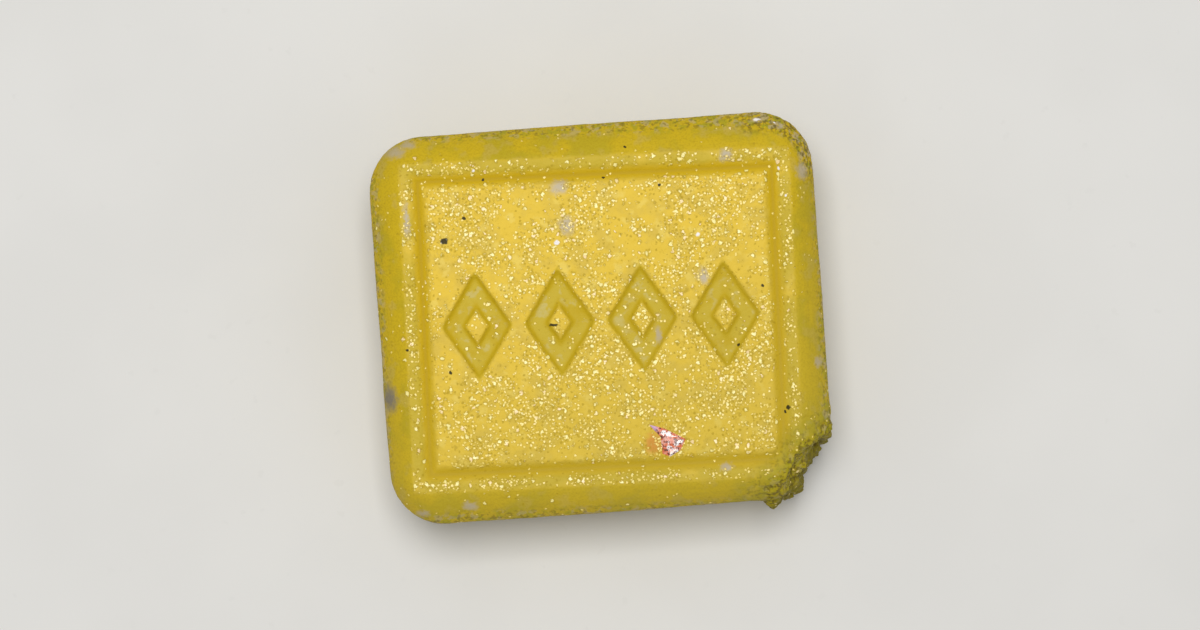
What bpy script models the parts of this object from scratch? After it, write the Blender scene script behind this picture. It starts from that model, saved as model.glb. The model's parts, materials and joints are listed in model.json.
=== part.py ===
"""A pressed powder tablet: a small rounded block with a stamped face and one broken corner.

It was pressed in one stroke, so it is one solid. It lies on its plain back with the stamped
face up. The origin is at the middle of the back, +X runs along the longer side and +Y towards
the edge opposite the long edge with the broken corner.
"""

import math

import bmesh
import bpy
from mathutils import Matrix, Vector, noise

MM = 0.001  # one millimetre, in metres

# Driving dimensions, in millimetres
WIDTH = 10.8  # along X, side to side
HEIGHT = 9.44  # along Y
THICKNESS = 4.2
CORNER_RADIUS = 1.35
CORNER_STEPS = 10  # segments in each rounded corner

# The sloping shoulder between a face and the side, the same on the back
SHOULDER_DROP = 0.62
SHOULDER_STEPS = 8
SHOULDER_POWER = 1.35  # 1 is a flat bevel, 2 a round edge

# The stamp sits a little askew in the outline
STAMP_TWIST = math.radians(-1.5)
STAMP_OFFSET = Vector((0.0, -0.055))
RIM_WIDTH, RIM_HEIGHT = 9.41, 7.93  # outer edge of the narrow rim round the face
RIM_RADIUS = 0.34
RIM_BAND = 0.22
GROOVE_BAND = 0.42
GROOVE_DEPTH = 0.13
GROOVE_FLOOR = 0.10
GROOVE_RADIUS = 0.10

# The row of plain hollow lozenges sunk in the panel
LOZENGE_COUNT = 4
LOZENGE_PITCH = 2.0
LOZENGE_WIDTH, LOZENGE_HEIGHT = 1.78, 2.74
LOZENGE_STROKE = 0.55
LOZENGE_DEPTH = 0.15
LOZENGE_DRAFT = 0.10  # how far each wall of the stroke leans in on its way down
LOZENGE_RADIUS = 0.14
LOZENGE_STEPS = 4

# The broken corner, where the break meets the top and where it stands out below
BREAK_TOP = (
    (5.90, -2.70),
    (5.25, -2.98),
    (4.69, -3.25),
    (4.45, -3.50),
    (4.20, -3.92),
    (4.03, -4.22),
    (3.70, -4.46),
    (3.20, -4.74),
    (2.70, -5.30),
)
BREAK_FOOT = (
    (5.90, -2.95),
    (5.45, -3.22),
    (5.17, -3.51),
    (4.94, -3.84),
    (4.72, -4.10),
    (4.60, -4.42),
    (4.33, -4.66),
    (3.85, -4.86),
    (3.20, -5.50),
)
BREAK_COLUMNS = 38
BREAK_ROWS = 38
BREAK_START = 0.32  # depth below the top where the break begins to run out
BREAK_FALL = 0.85  # depth over which it nears its foot line
BREAK_CLEARANCE = 0.4  # how far the cutter passes the top and the back
BREAK_OUTSIDE = Vector((8.0, -7.0))

# The powder parted round its clumps, which stand out of the broken face: size and height of each kind
CLUMP_SIZE, CLUMP_HEIGHT = 0.80, 0.34
GRAIN_SIZE, GRAIN_HEIGHT = 0.34, 0.20

# Crumbs that hang on by one side: place along the break, depth and radius
CRUMBS = (
    (0.31, 1.30, 0.20),
    (0.40, 0.55, 0.15),
    (0.52, 2.30, 0.22),
    (0.63, 1.00, 0.17),
    (0.70, 3.10, 0.20),
)
CRUMB_SUNK = 0.5  # share of its radius that a crumb's middle lies behind the broken face
CRUMB_ROUGHNESS = 0.45
CRUMB_WAVES = 2.2  # unevenness of a crumb, in waves over its radius
LIP_CENTRE = Vector((3.76, -4.68, 2.90))
LIP_RADII = Vector((0.38, 0.29, 0.62))

# The other end of that side: a corner whose shoulder is only worn
WORN_CENTRE = Vector((5.02, 4.18, 4.50))
WORN_RADII = Vector((1.15, 1.15, 0.63))
WORN_ROUGHNESS = 0.12
WORN_WAVES = 5.5

POWDER_COLOUR = (0.66, 0.46, 0.05, 1.0)
POWDER_ROUGHNESS = 0.72


def clear_scene():
    for obj in list(bpy.data.objects):
        bpy.data.objects.remove(obj, do_unlink=True)


def mix(low, high, share):
    return low + (high - low) * share


def rounded_corners(corners, radius, steps):
    """An outline through rounded corners. Every corner gets steps + 1 points, whatever its radius."""
    outline = []
    for index, corner in enumerate(corners):
        before = (corners[index - 1] - corner).normalized()
        after = (corners[(index + 1) % len(corners)] - corner).normalized()
        half_angle = before.angle(after) / 2
        centre = corner + (before + after).normalized() * (radius / math.sin(half_angle))
        start = corner + before * (radius / math.tan(half_angle)) - centre
        sweep = math.pi - 2 * half_angle
        for step in range(steps + 1):
            turn = Matrix.Rotation(sweep * step / steps, 2)
            outline.append(centre + turn @ start)
    return outline


def rounded_rectangle(width, height, radius):
    x, y = width / 2, height / 2
    corners = [Vector((x, y)), Vector((-x, y)), Vector((-x, -y)), Vector((x, -y))]
    return rounded_corners(corners, radius, CORNER_STEPS)


def lozenge(inset):
    """The lozenge's outline, moved in by inset square to its sides."""
    x, y = LOZENGE_WIDTH / 2, LOZENGE_HEIGHT / 2
    share = 1 - inset / (x * y / math.hypot(x, y))
    corners = [Vector((x, 0)), Vector((0, y)), Vector((-x, 0)), Vector((0, -y))]
    return rounded_corners([c * share for c in corners], LOZENGE_RADIUS * share, LOZENGE_STEPS)


def stamped(points, share=1.0):
    """Points turned and moved with the stamp, wholly at share 1 and not at all at share 0."""
    turn = Matrix.Rotation(STAMP_TWIST * share, 2)
    return [turn @ point + STAMP_OFFSET * share for point in points]


def at_height(points, z):
    return [Vector((point.x, point.y, z)) for point in points]


def skin(name, rings, endless=False):
    """A closed solid through rings of equal length, with flat ends unless it is endless."""
    mesh = bpy.data.meshes.new(name)
    shape = bmesh.new()
    loops = [[shape.verts.new(point * MM) for point in ring] for ring in rings]
    pairs = list(zip(loops, loops[1:]))
    if endless:
        pairs.append((loops[-1], loops[0]))
    for lower, upper in pairs:
        for index in range(len(lower)):
            following = (index + 1) % len(lower)
            shape.faces.new((lower[index], lower[following], upper[following], upper[index]))
    if not endless:
        shape.faces.new(reversed(loops[0]))
        shape.faces.new(loops[-1])
    bmesh.ops.recalc_face_normals(shape, faces=shape.faces)
    shape.to_mesh(mesh)
    shape.free()
    obj = bpy.data.objects.new(name, mesh)
    bpy.context.scene.collection.objects.link(obj)
    return obj


def shoulder(face_width, face_height, face_z, side_z, share_of_stamp):
    """Rings of one sloping shoulder, from the side to the face."""
    rings = []
    for step in range(SHOULDER_STEPS + 1):
        angle = math.radians(90) * step / SHOULDER_STEPS
        across = 1 - math.cos(angle) ** (2 / SHOULDER_POWER)
        up = math.sin(angle) ** (2 / SHOULDER_POWER)
        outline = rounded_rectangle(
            mix(WIDTH, face_width, across),
            mix(HEIGHT, face_height, across),
            mix(CORNER_RADIUS, RIM_RADIUS, across),
        )
        rings.append(at_height(stamped(outline, across * share_of_stamp), mix(side_z, face_z, up)))
    return rings


def frame_ring(inset, radius, z):
    outline = rounded_rectangle(RIM_WIDTH - 2 * inset, RIM_HEIGHT - 2 * inset, radius)
    return at_height(stamped(outline), z)


def make_body():
    """The pressed block, from the middle of its back up the side to the panel."""
    back = shoulder(RIM_WIDTH, RIM_HEIGHT, 0.0, SHOULDER_DROP, 0)
    front = shoulder(RIM_WIDTH, RIM_HEIGHT, THICKNESS, THICKNESS - SHOULDER_DROP, 1)
    wall = (GROOVE_BAND - GROOVE_FLOOR) / 2
    floor_z = THICKNESS - GROOVE_DEPTH
    groove = [
        frame_ring(RIM_BAND, GROOVE_RADIUS, THICKNESS),
        frame_ring(RIM_BAND + wall, GROOVE_RADIUS, floor_z),
        frame_ring(RIM_BAND + wall + GROOVE_FLOOR, GROOVE_RADIUS, floor_z),
        frame_ring(RIM_BAND + GROOVE_BAND, GROOVE_RADIUS, THICKNESS),
    ]
    return skin("tablet", [*reversed(back), *front, *groove])


def make_lozenge_cutter(index):
    """A ring with sloping walls that sinks one hollow lozenge into the panel."""
    floor_z = THICKNESS - LOZENGE_DEPTH
    above_z = THICKNESS + LOZENGE_DEPTH
    lean = LOZENGE_DRAFT / LOZENGE_DEPTH * (above_z - floor_z)
    sections = (
        (LOZENGE_DRAFT - lean, above_z),
        (LOZENGE_DRAFT, floor_z),
        (LOZENGE_STROKE - LOZENGE_DRAFT, floor_z),
        (LOZENGE_STROKE - LOZENGE_DRAFT + lean, above_z),
    )
    centre = Vector(((index - (LOZENGE_COUNT - 1) / 2) * LOZENGE_PITCH, 0))
    rings = [at_height(stamped([centre + p for p in lozenge(inset)]), z) for inset, z in sections]
    return skin(f"lozenge_cutter_{index + 1}", rings, endless=True)


def along(line, share):
    """The point at a share of the way along a line of points, counted evenly by its points."""
    place = share * (len(line) - 1)
    index = min(int(place), len(line) - 2)
    return Vector(line[index]).lerp(Vector(line[index + 1]), place - index)


def swelling(point, size):
    """From about 0.5 in the middle of a clump to about -0.5 in the creases round it."""
    return 0.5 - noise.voronoi(point / size)[0][0]


def lumpiness(point):
    """How far a broken face stands in or out at a point, in millimetres."""
    return CLUMP_HEIGHT * swelling(point, CLUMP_SIZE) + GRAIN_HEIGHT * swelling(point, GRAIN_SIZE)


def break_place(share, depth):
    """A point of the broken face before it is roughened, and the way out of the tablet there."""
    out = 1 - math.exp(-max(depth - BREAK_START, 0.0) / BREAK_FALL)
    plan = along(BREAK_TOP, share).lerp(along(BREAK_FOOT, share), out)
    return Vector((plan.x, plan.y, THICKNESS - depth)), (BREAK_OUTSIDE - plan).normalized().to_3d()


def broken_row(depth):
    """One row of the rough broken face, at a depth below the top."""
    row = []
    for column in range(BREAK_COLUMNS + 1):
        place, outward = break_place(column / BREAK_COLUMNS, depth)
        row.append(place + outward * lumpiness(place))
    return row


def make_break_cutter():
    """A block whose inner side is the broken face, reaching past the top and the back."""
    rings = []
    for row in range(BREAK_ROWS + 1):
        depth = mix(-BREAK_CLEARANCE, THICKNESS + BREAK_CLEARANCE, row / BREAK_ROWS)
        rings.append([*broken_row(depth), Vector((*BREAK_OUTSIDE, THICKNESS - depth))])
    return skin("break_cutter", rings)


def make_pebble(name, centre, radii, roughness, waves, subdivisions):
    """An uneven ball, about as wide as its radii say."""
    mesh = bpy.data.meshes.new(name)
    shape = bmesh.new()
    bmesh.ops.create_icosphere(shape, subdivisions=subdivisions, radius=1.0)
    for vert in shape.verts:
        swell = 1 + roughness * noise.noise(vert.co * waves + centre)
        spot = Vector(a * b for a, b in zip(vert.co * swell, radii))
        vert.co = (centre + spot) * MM
    shape.to_mesh(mesh)
    shape.free()
    obj = bpy.data.objects.new(name, mesh)
    bpy.context.scene.collection.objects.link(obj)
    return obj


def make_worn_cutter():
    """A shallow, uneven bite that takes the crispness off one corner's shoulder."""
    return make_pebble("worn_cutter", WORN_CENTRE, WORN_RADII, WORN_ROUGHNESS, WORN_WAVES, 4)


def make_crumb(name, centre, radii):
    return make_pebble(name, centre, radii, CRUMB_ROUGHNESS, CRUMB_WAVES, 2)


def make_crumbs():
    """The crumbs on the broken face, and the lip that stands out at the end of it."""
    crumbs = [make_crumb("lip", LIP_CENTRE, LIP_RADII)]
    for number, (share, depth, radius) in enumerate(CRUMBS, start=1):
        place, outward = break_place(share, depth)
        centre = place + outward * (lumpiness(place) - CRUMB_SUNK * radius)
        crumbs.append(make_crumb(f"crumb_{number}", centre, Vector((radius, radius, radius))))
    return crumbs


def use_boolean(obj, other, operation):
    """Cuts or joins the other object, which then only guides and isn't part of the model."""
    modifier = obj.modifiers.new(f"{operation.lower()} {other.name}", "BOOLEAN")
    modifier.operation = operation
    modifier.object = other
    other.hide_render = True
    other.display_type = "WIRE"


def powder_material():
    material = bpy.data.materials.new("pressed_powder")
    material.use_nodes = True
    shader = material.node_tree.nodes["Principled BSDF"]
    shader.inputs["Base Color"].default_value = POWDER_COLOUR
    shader.inputs["Roughness"].default_value = POWDER_ROUGHNESS
    shader.inputs["Metallic"].default_value = 0.0
    return material


def main():
    clear_scene()
    tablet = make_body()
    tablet.data.materials.append(powder_material())
    for index in range(LOZENGE_COUNT):
        use_boolean(tablet, make_lozenge_cutter(index), "DIFFERENCE")
    use_boolean(tablet, make_worn_cutter(), "DIFFERENCE")
    use_boolean(tablet, make_break_cutter(), "DIFFERENCE")
    for crumb in make_crumbs():
        use_boolean(tablet, crumb, "UNION")
    tablet.data.shade_smooth()
    tablet.data.set_sharp_from_angle(angle=math.radians(35))


main()
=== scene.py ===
# %% [markdown]
# A small tablet of pressed yellow powder, with a stamped face and one broken corner.
# The block was pressed in one stroke, so it is one piece here as well. Its form is built by hand
# from outlines, cutters and a rough break, then given one even skin, which carries the powder's
# grain as real relief. The colours come last, from masks that are kept on the skin.

import json
import math

import bpy
import numpy as np
from mathutils import Matrix, Vector
from mathutils.bvhtree import BVHTree

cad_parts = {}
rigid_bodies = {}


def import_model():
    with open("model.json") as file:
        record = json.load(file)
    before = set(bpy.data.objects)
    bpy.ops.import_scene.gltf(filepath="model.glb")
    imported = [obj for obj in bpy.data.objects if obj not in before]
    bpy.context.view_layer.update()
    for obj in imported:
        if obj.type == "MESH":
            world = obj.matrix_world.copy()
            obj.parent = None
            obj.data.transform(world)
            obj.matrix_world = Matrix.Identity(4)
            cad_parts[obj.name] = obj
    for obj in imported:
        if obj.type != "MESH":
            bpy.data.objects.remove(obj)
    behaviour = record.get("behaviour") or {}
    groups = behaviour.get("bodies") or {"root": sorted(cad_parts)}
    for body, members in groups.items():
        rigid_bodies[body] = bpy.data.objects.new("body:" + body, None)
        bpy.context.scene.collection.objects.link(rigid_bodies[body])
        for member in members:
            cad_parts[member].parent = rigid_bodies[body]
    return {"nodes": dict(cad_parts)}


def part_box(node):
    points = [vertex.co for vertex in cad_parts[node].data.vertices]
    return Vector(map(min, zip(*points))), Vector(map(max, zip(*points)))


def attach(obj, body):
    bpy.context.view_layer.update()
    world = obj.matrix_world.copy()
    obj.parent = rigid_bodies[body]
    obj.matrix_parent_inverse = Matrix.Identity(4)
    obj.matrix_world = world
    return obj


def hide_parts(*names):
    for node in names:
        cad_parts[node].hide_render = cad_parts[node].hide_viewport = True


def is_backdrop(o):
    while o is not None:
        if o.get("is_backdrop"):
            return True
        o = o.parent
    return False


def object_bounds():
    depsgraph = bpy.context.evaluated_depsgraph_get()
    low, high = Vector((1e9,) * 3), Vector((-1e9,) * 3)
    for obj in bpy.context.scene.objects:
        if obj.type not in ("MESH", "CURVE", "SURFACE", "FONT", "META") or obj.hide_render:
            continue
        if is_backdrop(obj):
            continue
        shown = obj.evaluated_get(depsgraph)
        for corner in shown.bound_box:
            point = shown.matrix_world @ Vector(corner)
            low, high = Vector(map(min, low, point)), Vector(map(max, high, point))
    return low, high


for startup_object in list(bpy.data.objects):
    bpy.data.objects.remove(startup_object)
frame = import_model()
cad_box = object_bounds()
bpy.ops.object.select_all(action="DESELECT")
print("nodes in the frame:", sorted(frame["nodes"]))

# %% [markdown]
# The tablet is about a centimetre wide. Blender's modifiers have smallest steps that suit larger
# things, so it is modelled with one unit for a millimetre and made its real size at the end.
# The frame gives the outer sizes. The upper side gives the height, because a lip of powder
# stands out of the lower one.

# %% Outer sizes, in millimetres
MM = 0.001  # one millimetre, in metres

low, high = (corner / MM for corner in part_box("tablet"))
width = high.x - low.x
height = 2 * high.y
thickness = high.z
print(f"outer size {width:.2f} x {height:.2f} x {thickness:.2f} mm")

# %% [markdown]
# The photograph looks straight down, and in it the tablet is turned a little anticlockwise.
# A long lens keeps the sides out of sight, as there. The camera's distance follows from the size
# of one pixel, measured across the tablet at the upper edge of its sides.

# %% Camera
PHOTO_SIZE = (1200, 630)  # pixels
TABLET_CENTRE = (601, 318)  # where the middle of the tablet is in the photograph
PIXEL = 0.02432  # millimetres
PHOTO_TURN = math.radians(4.2)
LENS = 100.0
SHOULDER_DROP = 0.62


def from_photo(x, y):
    """A point of the stamped face, in millimetres, from its pixel in the photograph."""
    across = (x - TABLET_CENTRE[0]) * PIXEL
    up = (TABLET_CENTRE[1] - y) * PIXEL
    return Matrix.Rotation(-PHOTO_TURN, 2) @ Vector((across, up))


middle = from_photo(PHOTO_SIZE[0] / 2, PHOTO_SIZE[1] / 2)
camera_data = bpy.data.cameras.new("camera")
camera_data.lens = LENS
distance = PHOTO_SIZE[0] * PIXEL * LENS / camera_data.sensor_width
camera_data.clip_start = 1 * MM
camera = bpy.data.objects.new("camera", camera_data)
camera.location = Vector((middle.x, middle.y, thickness - SHOULDER_DROP + distance)) * MM
camera.rotation_euler = (0, 0, -PHOTO_TURN)
bpy.context.scene.collection.objects.link(camera)
bpy.context.scene.camera = camera
print(f"camera {distance:.0f} mm above the shoulder")

# %% [markdown]
# The light is that of a small studio: one soft lamp above the camera, a little towards the
# upper edge, so that every slope is darker than the flat face, and a pale surround that fills
# the shadows. The floor is plain and pale.

# %% Floor and light
FLOOR_SIZE = 400.0
KEY_DISTANCE = 130.0
KEY_SIZE = 45.0
KEY_POWER = 0.11  # watts, small because the lamp is near
KEY_LEAN = Vector((-0.02, 0.15, 1.0))
FILL_LIGHT = 0.38

bpy.ops.mesh.primitive_plane_add(size=FLOOR_SIZE * MM)
floor = bpy.context.object
floor.name = "floor"
floor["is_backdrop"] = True

lamp = bpy.data.lights.new("key_light", "AREA")
lamp.size = KEY_SIZE * MM
lamp.energy = KEY_POWER
key = bpy.data.objects.new("key_light", lamp)
key.location = KEY_LEAN.normalized() * KEY_DISTANCE * MM
key.rotation_euler = KEY_LEAN.to_track_quat("Z", "Y").to_euler()
bpy.context.scene.collection.objects.link(key)

world = bpy.data.worlds.new("studio")
world.use_nodes = True
world.node_tree.nodes["Background"].inputs["Color"].default_value = (1, 1, 1, 1)
world.node_tree.nodes["Background"].inputs["Strength"].default_value = FILL_LIGHT
bpy.context.scene.world = world
bpy.context.scene.view_settings.view_transform = "Standard"
print(f"lamp {KEY_SIZE:.0f} mm wide, {KEY_DISTANCE:.0f} mm away")

# %% [markdown]
# The pressed block could be a cube with its edges bevelled, but the corners of the stamped face
# are much tighter than those of the outline, and a bevel can't change from one to the other.
# So it is a loft: rounded outlines at rising heights, each a plane with its corners bevelled,
# and a bridge from each to the next. The outlines near the face turn with the stamp, which sits
# a little askew in the block.

# %% Outlines and how they are bridged
CORNER_STEPS = 10
STAMP_TWIST = math.radians(-1.5)
STAMP_OFFSET = Vector((0.0, -0.055))


def select_only(obj):
    """Selects this object alone, so that an operator changes nothing else."""
    bpy.ops.object.select_all(action="DESELECT")
    obj.select_set(True)
    bpy.context.view_layer.objects.active = obj


def apply_place(obj):
    """Moves the object's place, turn and size into its mesh."""
    select_only(obj)
    bpy.ops.object.transform_apply(location=True, rotation=True, scale=True)


def add_outline(size, radius, z, stamp_share, filled=False):
    """The edge of a rounded rectangle, with the given share of the stamp's twist and offset."""
    bpy.ops.object.select_all(action="DESELECT")
    bpy.ops.mesh.primitive_plane_add(size=1)
    outline = bpy.context.object
    outline.scale = (*size, 1)
    apply_place(outline)
    bpy.ops.object.mode_set(mode="EDIT")
    bpy.ops.mesh.bevel(offset=radius, segments=CORNER_STEPS, affect="VERTICES")
    if not filled:
        bpy.ops.mesh.select_all(action="SELECT")
        bpy.ops.mesh.delete(type="ONLY_FACE")
    bpy.ops.object.mode_set(mode="OBJECT")
    outline.rotation_euler.z = STAMP_TWIST * stamp_share
    outline.location = (*(STAMP_OFFSET * stamp_share), z)
    apply_place(outline)
    return outline


def bridge_open_edges():
    """Joins the two open edges of the mesh in edit mode with a strip of faces."""
    bpy.ops.mesh.select_mode(type="EDGE")
    bpy.ops.mesh.select_non_manifold(extend=False, use_multi_face=False, use_non_contiguous=False)
    bpy.ops.mesh.bridge_edge_loops()


def face_outwards():
    """Turns every face of the mesh in edit mode outwards."""
    bpy.ops.mesh.select_all(action="SELECT")
    bpy.ops.mesh.normals_make_consistent(inside=False)


def loft(name, sections):
    """A closed solid through the outlines of these sections, from the bottom up."""
    solid = add_outline(*sections[0], filled=True)
    solid.name = name
    for section in sections[1:]:
        outline = add_outline(*section)
        select_only(solid)
        outline.select_set(True)
        bpy.ops.object.join()
        bpy.ops.object.mode_set(mode="EDIT")
        bridge_open_edges()
        bpy.ops.object.mode_set(mode="OBJECT")
    bpy.ops.object.mode_set(mode="EDIT")
    bpy.ops.mesh.select_all(action="SELECT")
    bpy.ops.mesh.fill_holes(sides=0)
    face_outwards()
    bpy.ops.object.mode_set(mode="OBJECT")
    return solid


# %% [markdown]
# The die leaves a sloping shoulder all round, a narrow flat rim, and a soft groove that frames
# the panel. The shoulder's section is between a flat bevel and a quarter circle, so it follows
# a formula with one number for its fullness. The groove is a few steps in from the rim's edge.

# %% The pressed block
OUTLINE_RADIUS = 1.35
SHOULDER_STEPS = 8
SHOULDER_POWER = 1.35  # 1 is a flat bevel, 2 a round edge
RIM_SIZE = Vector((9.41, 7.93))
RIM_RADIUS = 0.34
GROOVE_RADIUS = 0.10
GROOVE = (  # in from the rim's outer edge, and depth
    (0.18, 0.00),
    (0.24, 0.02),
    (0.31, 0.06),
    (0.38, 0.10),
    (0.44, 0.11),
    (0.50, 0.09),
    (0.57, 0.04),
    (0.62, 0.01),
    (0.66, 0.00),
)


def shoulder(side_z, face_z, stamp_share):
    """Sections from the side of the block to the edge of a face."""
    sections = []
    for step in range(SHOULDER_STEPS + 1):
        angle = math.radians(90) * step / SHOULDER_STEPS
        across = 1 - math.cos(angle) ** (2 / SHOULDER_POWER)
        up = math.sin(angle) ** (2 / SHOULDER_POWER)
        size = Vector((width, height)).lerp(RIM_SIZE, across)
        radius = OUTLINE_RADIUS + (RIM_RADIUS - OUTLINE_RADIUS) * across
        sections.append((size, radius, side_z + (face_z - side_z) * up, across * stamp_share))
    return sections


def groove_section(inset, depth):
    """A section of the groove, this far in from the rim's edge and this deep."""
    return RIM_SIZE - Vector((2, 2)) * inset, GROOVE_RADIUS, thickness - depth, 1


back = shoulder(SHOULDER_DROP, 0.0, 0)
front = shoulder(thickness - SHOULDER_DROP, thickness, 1)
groove = [groove_section(inset, depth) for inset, depth in GROOVE]
tablet = loft("pressed_tablet", [*reversed(back), *front, *groove])
print(f"pressed block of {len(tablet.data.polygons)} faces")

# %% [markdown]
# Four hollow lozenges are sunk across the panel. A stroke with soft walls could be a bevelled
# curve, but its inner side would fold over itself in the tight corners. So each cutter is one
# lozenge, a circle of four points, extruded again and again along the stroke's section: every
# step is a smaller copy of the outline, a little lower or higher. A Boolean then sinks it.

# %% Hollow lozenges
LOZENGE_COUNT = 4
LOZENGE_PITCH = 2.0
LOZENGE_SIZE = Vector((1.78, 2.74))
LOZENGE_CORNER = 0.20
LOZENGE_CORNER_STEPS = 4
STROKE = (  # in from the outline, and depth below the panel
    (-0.05, -0.10),
    (0.00, 0.00),
    (0.04, 0.05),
    (0.09, 0.10),
    (0.15, 0.12),
    (0.40, 0.12),
    (0.46, 0.10),
    (0.51, 0.05),
    (0.55, 0.00),
    (0.60, -0.10),
)
lozenge_apothem = LOZENGE_SIZE.x * LOZENGE_SIZE.y / LOZENGE_SIZE.length / 2


def lozenge_centre(index):
    return Vector(((index - (LOZENGE_COUNT - 1) / 2) * LOZENGE_PITCH, 0))


def on_stamp(point):
    """A place of the stamp, turned and moved with it."""
    return Matrix.Rotation(STAMP_TWIST, 2) @ point + STAMP_OFFSET


def add_lozenge_cutter(index):
    """A solid that fills the stroke of one lozenge and stands out above the panel."""
    bpy.ops.object.select_all(action="DESELECT")
    bpy.ops.mesh.primitive_circle_add(vertices=4, radius=0.5)
    cutter = bpy.context.object
    cutter.name = f"lozenge_cutter_{index + 1}"
    cutter.scale = (*LOZENGE_SIZE, 1)
    apply_place(cutter)
    bpy.ops.object.mode_set(mode="EDIT")
    bpy.ops.mesh.bevel(offset=LOZENGE_CORNER, segments=LOZENGE_CORNER_STEPS, affect="VERTICES")
    bpy.ops.mesh.select_all(action="SELECT")
    share, level = 1.0, 0.0
    for inset, depth in STROKE:
        if level:
            bpy.ops.mesh.extrude_region_move()
        new_share = 1 - inset / lozenge_apothem
        ratio = new_share / share
        bpy.ops.transform.resize(value=(ratio, ratio, 1), center_override=(0, 0, 0))
        bpy.ops.transform.translate(value=(0, 0, thickness - depth - level))
        share, level = new_share, thickness - depth
    bridge_open_edges()
    face_outwards()
    bpy.ops.object.mode_set(mode="OBJECT")
    cutter.rotation_euler.z = STAMP_TWIST
    cutter.location = on_stamp(lozenge_centre(index)).to_3d()
    apply_place(cutter)
    return cutter


def apply_modifiers(obj):
    """Works the modifiers into the mesh, in their order."""
    select_only(obj)
    for modifier in list(obj.modifiers):
        bpy.ops.object.modifier_apply(modifier=modifier.name)


def cut_away(obj, cutter):
    """Takes the cutter's shape out of the object, and keeps the cutter."""
    modifier = obj.modifiers.new(cutter.name, "BOOLEAN")
    modifier.operation = "DIFFERENCE"
    modifier.object = cutter
    apply_modifiers(obj)


for index in range(LOZENGE_COUNT):
    cutter = add_lozenge_cutter(index)
    cut_away(tablet, cutter)
    bpy.data.objects.remove(cutter)
print(f"{LOZENGE_COUNT} lozenges sunk, {len(tablet.data.polygons)} faces")

# %% [markdown]
# Pressed powder breaks round its clumps, so the broken corner is lumpy at two sizes and its edge
# is ragged. A flat cut with a bump map would show a straight edge from above. So the cutter's
# inner side is drawn as a line, point by point, extruded down and out in the way the break runs,
# and roughened by two displacements before it cuts.

# %% Textures that roughen a surface
def add_texture(name, kind, size):
    texture = bpy.data.textures.new(name, kind)
    texture.noise_scale = size
    return texture


def roughen(obj, name, kind, size, strength, group=""):
    """Moves the surface in and out by a noise of this size. Below zero, cells stand out as lumps."""
    modifier = obj.modifiers.new(name, "DISPLACE")
    modifier.texture = add_texture(name, kind, size)
    modifier.texture_coords = "LOCAL"
    modifier.mid_level = 0.5
    modifier.strength = strength
    modifier.vertex_group = group


def remesh(obj, size):
    """Lays a new skin of faces of this size round the object and all that overlaps in it."""
    modifier = obj.modifiers.new("even faces", "REMESH")
    modifier.mode = "VOXEL"
    modifier.voxel_size = size


# %% The broken corner
BREAK_LINE = (  # where the break meets the top, from the right side to the lower side
    (5.90, -2.86),
    (5.30, -3.10),
    (4.79, -3.34),
    (4.56, -3.60),
    (4.25, -3.96),
    (4.14, -4.34),
    (3.80, -4.57),
    (3.34, -4.84),
    (2.90, -5.30),
)
BREAK_LEAN = Vector((0.48, -0.24))  # how far the break runs out on its way down
BREAK_FALL = ((0.32, 0.0), (0.62, 0.30), (0.95, 0.52), (1.50, 0.75), (2.60, 0.93), (4.70, 1.0))
BREAK_ABOVE = 0.5
BREAK_OUT = Vector((4.0, -4.0, 0.0))
BREAK_DETAIL = 0.07  # size of the steps on the cutter


def draw_line(name, points):
    """An open line, drawn as one point that is extruded from place to place."""
    bpy.ops.object.select_all(action="DESELECT")
    bpy.ops.mesh.primitive_plane_add(size=0.1)
    line = bpy.context.object
    line.name = name
    bpy.ops.object.mode_set(mode="EDIT")
    bpy.ops.mesh.select_mode(type="VERT")
    bpy.ops.mesh.select_all(action="SELECT")
    bpy.ops.mesh.merge(type="CENTER")
    bpy.ops.transform.translate(value=points[0])
    for start, end in zip(points, points[1:]):
        bpy.ops.mesh.extrude_region_move(TRANSFORM_OT_translate={"value": end - start})
    return line


def add_break_cutter():
    """The powder that broke off, as a solid whose inner side is rough."""
    points = [Vector((x, y, thickness + BREAK_ABOVE)) for x, y in BREAK_LINE]
    cutter = draw_line("break_cutter", points)
    bpy.ops.mesh.select_all(action="SELECT")
    depth, share = -BREAK_ABOVE, 0.0
    for new_depth, new_share in BREAK_FALL:
        out = BREAK_LEAN * (new_share - share)
        step = (out.x, out.y, depth - new_depth)
        bpy.ops.mesh.extrude_region_move(TRANSFORM_OT_translate={"value": step})
        depth, share = new_depth, new_share
    bpy.ops.mesh.select_all(action="SELECT")
    bpy.ops.mesh.extrude_region_move(TRANSFORM_OT_translate={"value": BREAK_OUT})
    face_outwards()
    bpy.ops.object.mode_set(mode="OBJECT")
    remesh(cutter, BREAK_DETAIL)
    roughen(cutter, "clumps", "VORONOI", 0.62, 0.36)
    roughen(cutter, "grains", "CLOUDS", 0.28, 0.20)
    apply_modifiers(cutter)
    return cutter


break_cutter = add_break_cutter()
print(f"break cutter of {len(break_cutter.data.polygons)} faces")
cut_away(tablet, break_cutter)
print(f"broken block of {len(tablet.data.polygons)} faces")

# %% [markdown]
# A few crumbs still hang on the break, and a pointed lip of powder stands out at its lower end.
# Balls would look like beads, so they are blunt solids of twenty faces with one corner outwards,
# roughened a little and sunk halfway into the surface. They need no Boolean: the skin that comes
# next runs round everything that overlaps.

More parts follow.
